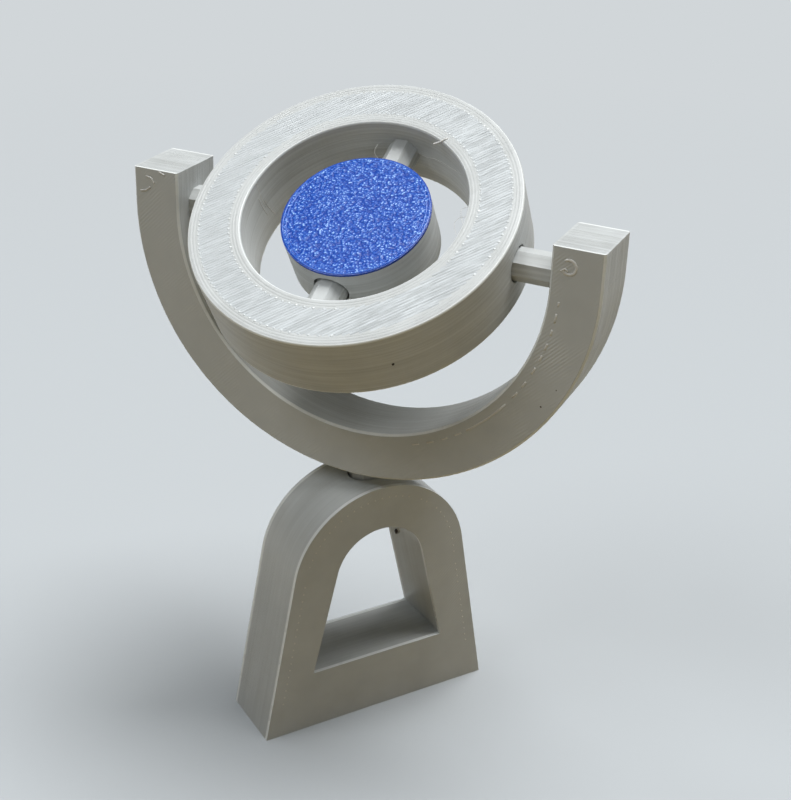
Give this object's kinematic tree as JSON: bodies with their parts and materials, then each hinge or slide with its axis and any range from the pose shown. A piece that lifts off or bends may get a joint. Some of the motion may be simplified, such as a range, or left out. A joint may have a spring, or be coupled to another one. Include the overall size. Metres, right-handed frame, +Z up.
{
  "type": "gyroscope on stand",
  "caption": "Tabletop gimbal gyroscope: a round rotor in a tilting ring, held by a swivelling half-ring yoke on an arched stand, all printed in plain plastic.",
  "frame": {"origin": "middle of the stand's flat base", "axes": "+Z up along the swivel axis; +X to the right and +Y to the back of the stand, whose arch faces -Y. At rest the yoke is turned 55.4 degrees clockwise seen from above and the ring leans 31 degrees towards the yoke's front, as pictured"},
  "size_m": [0.0515, 0.0678, 0.0996],
  "materials": {
    "print_grey": "matte, with fine print lines",
    "print_light": "matte, with fine print lines",
    "print_blue": "fine sparkling grain"
  },
  "bodies": {
    "stand": {"stand": "print_grey"},
    "yoke": {"yoke": "print_grey", "swivel_pin": "print_grey", "ring_pin_left": "print_grey", "ring_pin_right": "print_grey"},
    "ring": {"gimbal_ring": "print_light", "rotor_pin_front": "print_grey", "rotor_pin_rear": "print_grey"},
    "rotor": {"rotor": "print_grey", "rotor_face": "print_blue"}
  },
  "joints": [
    {"name": "yoke_swivel", "type": "hinge", "parent": "stand", "child": "yoke", "pos_m": [0, 0, 0.042], "axis": [0, 0, 1], "continuous": true},
    {"name": "ring_tilt", "type": "hinge", "parent": "yoke", "child": "ring", "pos_m": [0, 0, 0.082], "axis": [0.5678, -0.8231, 0], "continuous": true},
    {"name": "rotor_spin", "type": "hinge", "parent": "ring", "child": "rotor", "pos_m": [-0.00085, 0.00123, 0.082], "axis": [0.7056, 0.4867, 0.515], "continuous": true}
  ]
}
